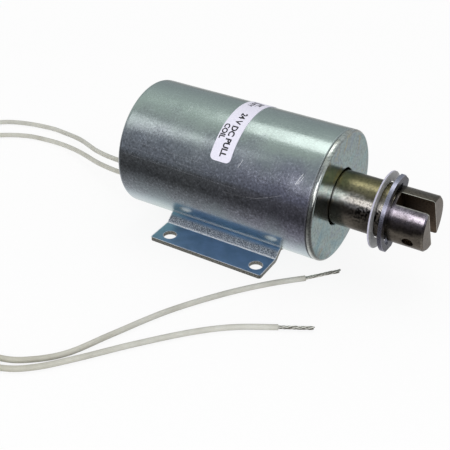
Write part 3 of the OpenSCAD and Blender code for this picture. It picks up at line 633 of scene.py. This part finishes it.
def platedSpringSteel():
    # Stamped spring steel, thinly plated. It gives the eye a dark grey face with a stamped grain, and a
    # brighter lavender grey edge where the shear has bared the metal.
    finish, add = material("platedSpringSteel")
    place, _, out, _ = partPlace(add)
    grain = add("TexNoise", {"Vector": place, "Scale": 1 / springSteel["grain"], "Detail": 3})
    face = add("ValToRGB", {"Fac": grain}, [(0.35, springSteel["patch"]), (0.65, springSteel["face"])])
    edge = add("MapRange", {"Value": out, "From": springSteel["edgeOut"]})
    tone = add("Mix", {"Factor": edge, "A": face, "B": linear(springSteel["edge"])}, **coloured)
    gloss = add("MapRange", {"Value": grain, "From": (0.3, 0.7), "To": springSteel["gloss"]})
    bump = add("Bump", {"Height": grain, "Distance": springSteel["grainDepth"]})
    shader = add("BsdfPrincipled", {"Base Color": tone, "Metallic": 1, "Roughness": gloss, "Normal": bump})
    add("OutputMaterial", {"Surface": shader})
    return finish


nylon = {
    # Name of the finish, its light, dark and rim colours, width of a cloud in mm, how clear it is, and glow.
    "bobbin": ("mouldedBobbinNylon", "#ddd6bd", "#cdc4a6", "#d6cdb2", 2, 0, 0.2),
    "bushing": ("mouldedBushingNylon", "#ece9df", "#dcd8cb", "#e4e1d6", 1.5, 0, 0.2),
    "washer": ("naturalNylonWasher", "#d0d1d4", "#c0c1c1", "#bdbbce", 3, 0.35, 0.3),
    "wave": 0.8, "waveDepth": 0.008 * mm,  # size of the dimples in the skin, mm
    "gloss": (0.3, 0.42),
}


def mouldedNylon(name, light, dark, rim, cloud, seeThrough, glow):
    # Moulded nylon. It gives the eye a cloudy, waxy skin with light carried inside; the thin washer also
    # lets the background through its faces, and its rim has a colour of its own.
    finish, add = material(name)
    place = partPlace(add)[0]
    drift = add("TexNoise", {"Vector": place, "Scale": 1 / cloud, "Detail": 4})
    tone = add("ValToRGB", {"Fac": drift}, [(0.3, dark), (0.7, light)])
    face = add("MapRange", {"Value": squareTo(add, "X"), "From": (0.5, 0.8)})
    tone = add("Mix", {"Factor": face, "A": linear(rim), "B": tone}, **coloured)
    clear = add("Math", {0: face, 1: seeThrough}, operation="MULTIPLY")
    waves = add("TexNoise", {"Vector": place, "Scale": 1 / nylon["wave"]})
    bump = add("Bump", {"Height": waves, "Distance": nylon["waveDepth"]})
    gloss = add("MapRange", {"Value": drift, "From": (0.3, 0.7), "To": nylon["gloss"]})
    shader = add("BsdfPrincipled", {
        "Base Color": tone, "Roughness": gloss, "IOR": 1.53, "Normal": bump, "Subsurface Weight": glow,
        "Subsurface Radius": (1, 0.95, 0.9), "Subsurface Scale": 1.0 * mm, "Transmission Weight": clear})
    add("OutputMaterial", {"Surface": shader})
    return finish


bar = {
    # Name of the finish, light and dark tones, and pitch of the lathe marks in mm.
    "iron": ("turnedSoftIron", "#9a9a98", "#7d7c79", 0.25),
    "brass": ("drawnBrass", "#d3b06a", "#b8934e", 0.35),
    "drift": 5,  # width of a patch of tone, mm
    "markDepth": 0.003 * mm,
    "gloss": (0.24, 0.36),
}


def turnedMetal(name, light, dark, pitch):
    # Turned or drawn bar, unplated. It gives the eye a plain metal with lathe marks round the axis and two
    # tones that drift over a few millimetres.
    finish, add = material(name)
    place, along, out, angle = partPlace(add)
    drift = add("TexNoise", {"Vector": place, "Scale": 1 / bar["drift"], "Detail": 4})
    tone = add("ValToRGB", {"Fac": drift}, [(0.3, dark), (0.7, light)])
    marks = latheMarks(add, along, out, angle, pitch)
    gloss = add("MapRange", {"Value": marks, "From": (0.3, 0.7), "To": bar["gloss"]})
    bump = add("Bump", {"Height": marks, "Distance": bar["markDepth"]})
    shader = add("BsdfPrincipled", {"Base Color": tone, "Metallic": 1, "Roughness": gloss, "Normal": bump})
    add("OutputMaterial", {"Surface": shader})
    return finish


coil = {
    # painted shade: the grooves between the turns are darker than the ridges
    "groove": "#6e2c0c", "ridge": "#b4602c",
    "waves": 0.35,  # draws a wire 0.9 mm wide, coarser than life so that it shows
    "ridgeHeight": 0.08 * mm,
    "tapeDark": "#b98e22", "tapeLight": "#dcb544",
    "crease": 3, "creaseDepth": 0.05 * mm,  # width of a crease in the tape, mm
}


def enamelledWinding():
    # Enamelled copper wire, wound in layers. It gives the eye fine ridges side by side along the coil, in a
    # clear red brown varnish, with painted shade in the grooves between the turns.
    finish, add = material("enamelledCopperWinding")
    _, along, out, _ = partPlace(add)
    wound = add("CombineXYZ", {"X": along, "Y": out})
    turnsOfWire = add("TexWave", {
        "Vector": wound, "Scale": coil["waves"], "Distortion": 0.4, "Detail": 1},
        bands_direction="X").outputs["Fac"]
    # painted shade in the grooves between the turns
    tone = add("ValToRGB", {"Fac": turnsOfWire}, [(0.1, coil["groove"]), (0.8, coil["ridge"])])
    bump = add("Bump", {"Height": turnsOfWire, "Distance": coil["ridgeHeight"]})
    gloss = add("MapRange", {"Value": turnsOfWire, "To": (0.34, 0.22)})
    shader = add("BsdfPrincipled", {"Base Color": tone, "Roughness": gloss, "IOR": 1.55, "Normal": bump})
    add("OutputMaterial", {"Surface": shader})
    return finish


def polyesterTape():
    # Amber polyester film tape. It gives the eye a glossy amber wrap with creases that run round it.
    finish, add = material("amberPolyesterTape")
    _, along, _, angle = partPlace(add)
    laid = add("CombineXYZ", {"X": along, "Y": angle})
    creases = add("TexNoise", {
        "Vector": laid, "Scale": 1 / coil["crease"], "Detail": 3, "Distortion": 1})
    tone = add("ValToRGB", {"Fac": creases}, [(0.3, coil["tapeDark"]), (0.7, coil["tapeLight"])])
    bump = add("Bump", {"Height": creases, "Distance": coil["creaseDepth"]})
    gloss = add("MapRange", {"Value": creases, "To": (0.12, 0.28)})
    shader = add("BsdfPrincipled", {"Base Color": tone, "Roughness": gloss, "IOR": 1.64, "Normal": bump})
    add("OutputMaterial", {"Surface": shader})
    return finish


label = {
    "paper": "#eceaf7", "shade": "#dfddee", "ink": "#09090c", "paleInk": "#26262d",
    "radius": 19.05 + 0.02 + 0.12,  # outside of the paper, mm
    "lift": 0.02,  # keeps the flat letters clear of the round paper between their corners, mm
    "bold": 0.05,  # how far each stroke is fattened, in letter heights
    "fibre": 0.4, "fibreDepth": 0.004 * mm,  # width of a fibre, mm
    "missed": 0.3,  # width of a fleck in the print, mm
    "capital": 0.7,  # height of a capital in the font, as a share of its size
    # Words, height of a capital, place along the axis, and angle of the middle round it.
    "lines": [("24 V DC PULL", 1.75, 2.75, 120.5), ("COIL", 1.55, 0.35, 121),
              ("INT.", 1.4, 3.2, 76), ("DUTY", 1.4, 1.2, 76)],
}


def labelPaper():
    # Coated thermal label paper. It gives the eye a cool white with a faint fibre and a dull sheen.
    finish, add = material("thermalLabelPaper")
    place = partPlace(add)[0]
    fibre = add("TexNoise", {"Vector": place, "Scale": 1 / label["fibre"], "Detail": 4})
    tone = add("ValToRGB", {"Fac": fibre}, [(0.3, label["shade"]), (0.7, label["paper"])])
    bump = add("Bump", {"Height": fibre, "Distance": label["fibreDepth"]})
    gloss = add("MapRange", {"Value": fibre, "To": (0.42, 0.6)})
    shader = add("BsdfPrincipled", {"Base Color": tone, "Roughness": gloss, "IOR": 1.5, "Normal": bump})
    add("OutputMaterial", {"Surface": shader})
    return finish


def thermalPrint():
    # Thermal print. It gives the eye a matt black with greyer flecks where the head missed a fibre.
    finish, add = material("thermalPrint")
    place = partPlace(add)[0]
    missed = add("TexNoise", {"Vector": place, "Scale": 1 / label["missed"], "Detail": 3})
    tone = add("ValToRGB", {"Fac": missed}, [(0.35, label["ink"]), (0.75, label["paleInk"])])
    gloss = add("MapRange", {"Value": missed, "To": (0.5, 0.7)})
    shader = add("BsdfPrincipled", {"Base Color": tone, "Roughness": gloss, "IOR": 1.5})
    add("OutputMaterial", {"Surface": shader})
    return finish


softIron = turnedMetal(*bar["iron"])
brass = turnedMetal(*bar["brass"])
winding = enamelledWinding()
finishes = {
    "case_tube": zincPlatedTube(), "front_cap": zincPlatedFace(), "rear_plate": zincPlatedFace(),
    "pole_piece": softIron, "residual_shim": brass, "guide_tube": brass,
    "bobbin": mouldedNylon(*nylon["bobbin"]), "coil_winding": winding, "coil_tape": polyesterTape(),
    "coil_tails": winding, "lead_splices": tinned, "lead_bushing": mouldedNylon(*nylon["bushing"]),
    "mounting_bracket": blueChromatedSheet(), "rating_label": labelPaper(), "plunger": nickelPlatedPlunger(),
    "retaining_ring": platedSpringSteel(), "nylon_washer": mouldedNylon(*nylon["washer"]),
}
for name, finish in finishes.items():
    dress(name, finish)
print("finishes set")


def letterLine(name, words, height, along, middle, finish):
    # Flat letters wrapped on the case: u runs round it and v along it, so
    # P(u, v) = (x0 + v, r cos(a0 + u / r), axis + r sin(a0 + u / r)).
    curve = bpy.data.curves.new(name, "FONT")
    curve.body = words
    curve.size = height / label["capital"]
    curve.align_x = "CENTER"
    curve.resolution_u = 4
    curve.offset = label["bold"] * height
    flat = putIn(name, curve)
    bpy.context.view_layer.update()
    mesh = bpy.data.meshes.new_from_object(flat)
    bpy.data.objects.remove(flat)
    points = np.empty(len(mesh.vertices) * 3)
    mesh.vertices.foreach_get("co", points)
    u, v = points.reshape(-1, 3)[:, :2].T
    r = label["radius"] + label["lift"]
    angle = np.radians(middle) + u / label["radius"]
    wrapped = [along + v - height / 2, r * np.cos(angle), axisHeight + r * np.sin(angle)]
    mesh.vertices.foreach_set("co", (np.stack(wrapped, axis=1) * mm).ravel())
    mesh.materials.clear()
    mesh.materials.append(finish)
    piece = putIn(name, mesh)
    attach(piece, "body")


ink = thermalPrint()
for i, (words, height, along, middle) in enumerate(label["lines"]):
    letterLine("labelLine" + str(i + 1), words, height, along, middle, ink)
print("label lettered")

studio = {
    "floorSize": 6, "under": 0.1 * mm,  # the floor lies this far under the part
    "paper": "#f6f6f6", "paperDark": "#f3f3f3",
    "fibre": 2 * mm,  # width of a mottle in the paper, coarser than life so that it shows
    # Share of the floor that the eye sees as plain white, and how far from the part; the rest takes shadow.
    "white": (0.87, 1), "whiteAt": (0.18, 0.5),
    # How bright the floor looks in metal: beside the case, and ahead of its cap. Each pair is the distance
    # behind (+) or before (-) the axis in millimetres, and the brightness.
    "besideCase": [(-150, 0.08), (-107, 0.075), (-55, 0.06), (-38, 0.17), (-27, 0.3), (-20, 0.45),
                   (-13, 0.85), (60, 0.75), (160, 0.55), (270, 0.35), (440, 0.25)],
    "aheadOfCap": [(-150, 0.02), (-68, 0.035), (-40, 0.07), (-19, 0.12), (-10, 0.16), (-2, 0.34), (3, 0.46),
                   (8, 0.42), (26, 0.48), (60, 0.45), (270, 0.3), (440, 0.25)],
    "capAlong": (26.0 * mm, 36.0 * mm),  # one gives way to the other between these
    # Walls and ceiling as seen in metal, by the angle over the part in degrees, from back to front.
    "walls": [(0, "#969ca0"), (20, "#989fa1"), (50, "#aab2b2"), (72, "#b0bab7"), (98, "#a6adac"),
              (114, "#989ea2"), (130, "#8d9298"), (146, "#848890"), (162, "#7a7d84"), (172, "#797c83"),
              (180, "#686b72")],
    "dimSide": (1, 0.4),  # brightness of the rest of the walls, and of the front wall to the right
    "dimRight": (-0.38, -0.27), "dimFront": (-0.2, -0.8),  # where it starts to dim and is dimmest
    "fill": 0.74,  # the even light of the room on dull surfaces
}
lamps = {  # place, aim, size in metres, and radiance
    "boxOverhead": ((-0.06, 0.17, 0.58), (-0.06, 0, 0.04), (0.42, 0.25), 1.1),
    "boxFront": ((0.01, -0.50, 0.33), (0.01, 0, 0.02), (0.30, 0.24), 2),
    "boxLeft": ((-0.44, -0.31, 0.50), (-0.03, 0, 0.02), (0.24, 0.26), 0.6),
    "boxRight": ((0.38, -0.45, 0.32), (0.03, 0, 0.02), (0.40, 0.52), 1.3),
}


def seamlessPaper():
    # Matt white background paper. It gives the eye plain white with the soft shadow of the part; in metal it
    # is bright under and behind the part and dim in front of it.
    finish, add = material("seamlessPaper")
    path = add("LightPath")
    place = add("TexCoord").outputs["Object"]
    fibre = add("TexNoise", {"Vector": place, "Scale": 1 / studio["fibre"], "Detail": 3})
    tone = add("ValToRGB", {"Fac": fibre}, [(0.3, studio["paperDark"]), (0.7, studio["paper"])])
    matt = add("BsdfDiffuse", {"Color": tone})
    white = add("Emission", {"Color": (1, 1, 1, 1)})
    away = add("VectorMath", {0: place}, operation="LENGTH")
    share = add("MapRange", {"Value": away, "From": studio["whiteAt"], "To": studio["white"]})
    looked = add("Math", {
        0: path.outputs["Is Camera Ray"], 1: path.outputs["Is Transmission Ray"]}, operation="MAXIMUM")
    share = add("Math", {0: looked, 1: share}, operation="MULTIPLY")
    seen = add("MixShader", {"Fac": share, 1: matt, 2: white})
    split = add("SeparateXYZ", {"Vector": place})
    looks = []
    for part in ("besideCase", "aheadOfCap"):
        first, last = studio[part][0][0], studio[part][-1][0]
        back = add("MapRange", {"Value": split.outputs["Y"], "From": (first * mm, last * mm)})
        stops = [((y - first) / (last - first), level) for y, level in studio[part]]
        looks.append(add("ValToRGB", {"Fac": back}, stops))
    ahead = add("MapRange", {"Value": split.outputs["X"], "From": studio["capAlong"]})
    look = add("Mix", {"Factor": ahead, "A": looks[0], "B": looks[1]}, **coloured)
    mirror = add("Emission", {"Color": look})
    both = add("MixShader", {"Fac": path.outputs["Is Glossy Ray"], 1: seen, 2: mirror})
    add("OutputMaterial", {"Surface": both})
    return finish


half = studio["floorSize"] / 2
corners = [(x, y, -studio["under"]) for x, y in ((-half, -half), (half, -half), (half, half), (-half, half))]
floorMesh = bpy.data.meshes.new("floor")
floorMesh.from_pydata(corners, [], [(0, 1, 2, 3)])
floorMesh.materials.append(seamlessPaper())
floor = putIn("floor", floorMesh)


def paintRoom():
    # Plain white to the eye, an even fill on dull surfaces, and in metal a ceiling that is lighter over the
    # part and dims towards the front right.
    world = bpy.data.worlds.new("room")
    world.use_nodes = True
    world.node_tree.nodes.clear()
    add = partial(addNode, world.node_tree)
    path = add("LightPath")
    way = add("SeparateXYZ", {"Vector": add("TexCoord").outputs["Generated"]})
    angle = add("Math", {0: way.outputs["Z"], 1: way.outputs["Y"]}, operation="ARCTAN2")
    turned = add("MapRange", {"Value": angle, "From": (0, np.pi)})
    walls = add("ValToRGB", {"Fac": turned}, [
        (degrees / 180, colour) for degrees, colour in studio["walls"]])
    right = add("MapRange", {"Value": way.outputs["X"], "From": studio["dimRight"]})
    front = add("MapRange", {"Value": way.outputs["Y"], "From": studio["dimFront"]})
    both = add("Math", {0: right, 1: front}, operation="MULTIPLY")
    side = add("MapRange", {"Value": both, "To": studio["dimSide"]})
    inMetal = add("Background", {"Color": walls, "Strength": side})
    even = add("Background", {"Color": (1, 1, 1, 1), "Strength": studio["fill"]})
    white = add("Background", {"Color": (1, 1, 1, 1)})
    lit = add("MixShader", {"Fac": path.outputs["Is Glossy Ray"], 1: even, 2: inMetal})
    looked = add("Math", {
        0: path.outputs["Is Camera Ray"], 1: path.outputs["Is Transmission Ray"]}, operation="MAXIMUM")
    sky = add("MixShader", {"Fac": looked, 1: lit, 2: white})
    add("OutputWorld", {"Surface": sky})
    bpy.context.scene.world = world


def softbox(name, place, aim, size, radiance):  # a rectangular area lamp that faces its aim
    lamp = bpy.data.lights.new(name, "AREA")
    lamp.shape = "RECTANGLE"
    lamp.size, lamp.size_y = size
    lamp.energy = radiance * np.pi * size[0] * size[1]
    box = putIn(name, lamp)
    facing = (Vector(aim) - Vector(place)).normalized()
    steep = abs(facing.z) > 0.85  # nearly straight down, where its long side stays along X
    level = Vector((1, 0, 0)) if steep else facing.cross((0, 0, 1)).normalized()
    turned = Matrix((level, level.cross(facing), -facing)).transposed().to_4x4()
    box.matrix_world = Matrix.Translation(place) @ turned


paintRoom()
for name, (place, aim, size, radiance) in lamps.items():
    softbox(name, place, aim, size, radiance)
bpy.context.scene.view_settings.view_transform = "Standard"
print("studio set")
